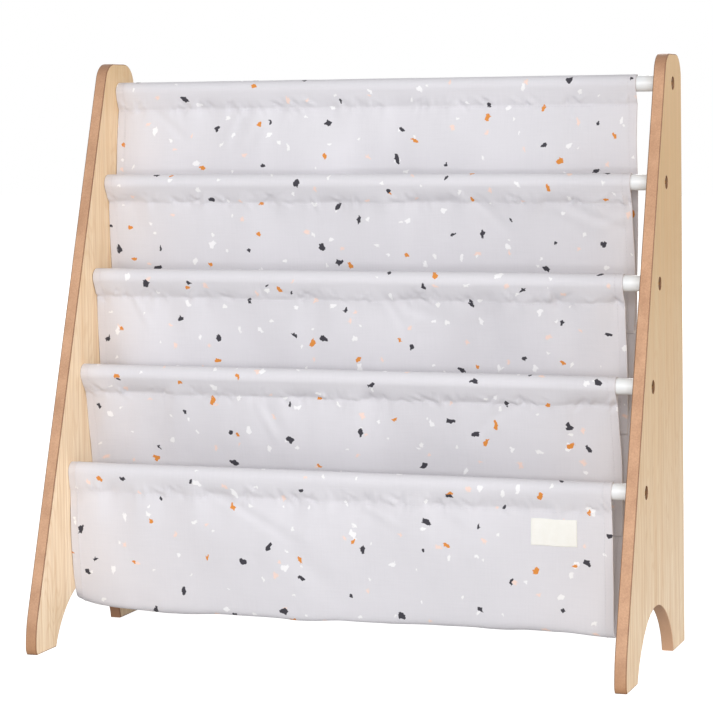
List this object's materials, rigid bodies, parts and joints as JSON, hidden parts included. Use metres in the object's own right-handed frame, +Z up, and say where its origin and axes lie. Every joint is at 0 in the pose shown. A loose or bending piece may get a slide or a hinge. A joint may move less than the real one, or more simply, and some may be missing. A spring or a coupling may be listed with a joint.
{
  "type": "sling bookshelf",
  "caption": "Child's sling bookshelf: side boards joined by dowels, with soft cloth pockets hung one in front of the other down a slope.",
  "frame": {"origin": "on the floor, in the middle of the box round the whole shelf", "axes": "+X to the right as seen from the front, +Y towards the upright back edge of the boards, +Z up"},
  "size_m": [0.62, 0.257, 0.599],
  "materials": {
    "board": "clear satin lacquer on a pale wood, with fine upright grain",
    "rod": "white satin paint",
    "cloth": "pale grey canvas printed with scattered charcoal, orange, white and peach chips",
    "label": "off-white woven tape, blank",
    "bolt": "bronze-coloured steel",
    "insert": "plain steel"
  },
  "bodies": {
    "root": {"left_side_board": "board", "right_side_board": "board", "rod_1": "rod", "rod_2": "rod", "rod_3": "rod", "rod_4": "rod", "rod_5": "rod", "left_insert_1": "insert", "left_insert_2": "insert", "left_insert_3": "insert", "left_insert_4": "insert", "left_insert_5": "insert", "right_insert_1": "insert", "right_insert_2": "insert", "right_insert_3": "insert", "right_insert_4": "insert", "right_insert_5": "insert", "left_bolt_1": "bolt", "left_bolt_2": "bolt", "left_bolt_3": "bolt", "left_bolt_4": "bolt", "left_bolt_5": "bolt", "right_bolt_1": "bolt", "right_bolt_2": "bolt", "right_bolt_3": "bolt", "right_bolt_4": "bolt", "right_bolt_5": "bolt", "main_cloth": "cloth", "pocket_cloth_1": "cloth", "pocket_cloth_2": "cloth", "pocket_cloth_3": "cloth", "label": "label"}
  },
  "joints": []
}
